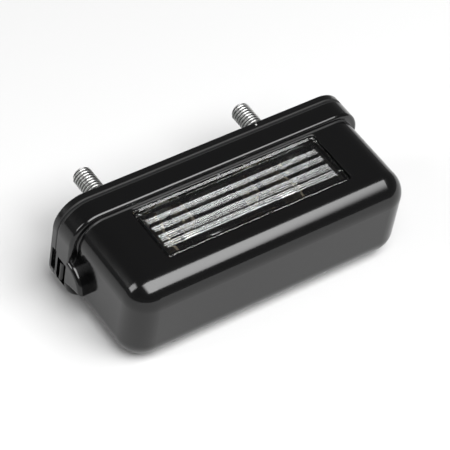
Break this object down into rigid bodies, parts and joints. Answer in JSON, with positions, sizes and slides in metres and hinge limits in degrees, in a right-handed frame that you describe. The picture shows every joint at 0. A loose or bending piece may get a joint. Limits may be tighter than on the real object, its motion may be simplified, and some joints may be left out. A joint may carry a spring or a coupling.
{
  "type": "number plate lamp",
  "caption": "Rear number plate lamp: black clip-fitted hood with a clear fluted window, on a flanged base with threaded studs and a tubular bulb inside.",
  "frame": {"origin": "middle of the line between the studs, on the flat mounting face at the back of the base", "axes": "+X along the lamp, +Y out of the mounting face along the studs, +Z out of the clear window, up as in the picture"},
  "size_m": [0.0816, 0.0476, 0.0272],
  "materials": {
    "black_hood": "glossy moulded black",
    "black_base": "moulded black, slightly duller",
    "clear_lens": "clear and polished",
    "seal_rubber": "matt black rubber",
    "zinc_steel": "bright zinc plate",
    "contact_brass": "stamped, dull bright",
    "cap_nickel": "nickel-plated caps",
    "bulb_glass": "clear blown glass",
    "tungsten": "dark drawn wire"
  },
  "bodies": {
    "root": {"base_plate": "black_base", "hood": "black_hood", "hood_seal": "seal_rubber", "lens": "clear_lens", "stud_left": "zinc_steel", "stud_right": "zinc_steel", "stud_washer_left": "seal_rubber", "stud_washer_right": "seal_rubber", "contact_left": "contact_brass", "contact_right": "contact_brass", "terminal_left": "contact_brass", "terminal_right": "contact_brass", "rivet_left": "zinc_steel", "rivet_right": "zinc_steel", "bulb_glass": "bulb_glass", "bulb_cap_left": "cap_nickel", "bulb_cap_right": "cap_nickel", "bulb_filament": "tungsten", "cable_grommet": "seal_rubber"}
  },
  "joints": []
}
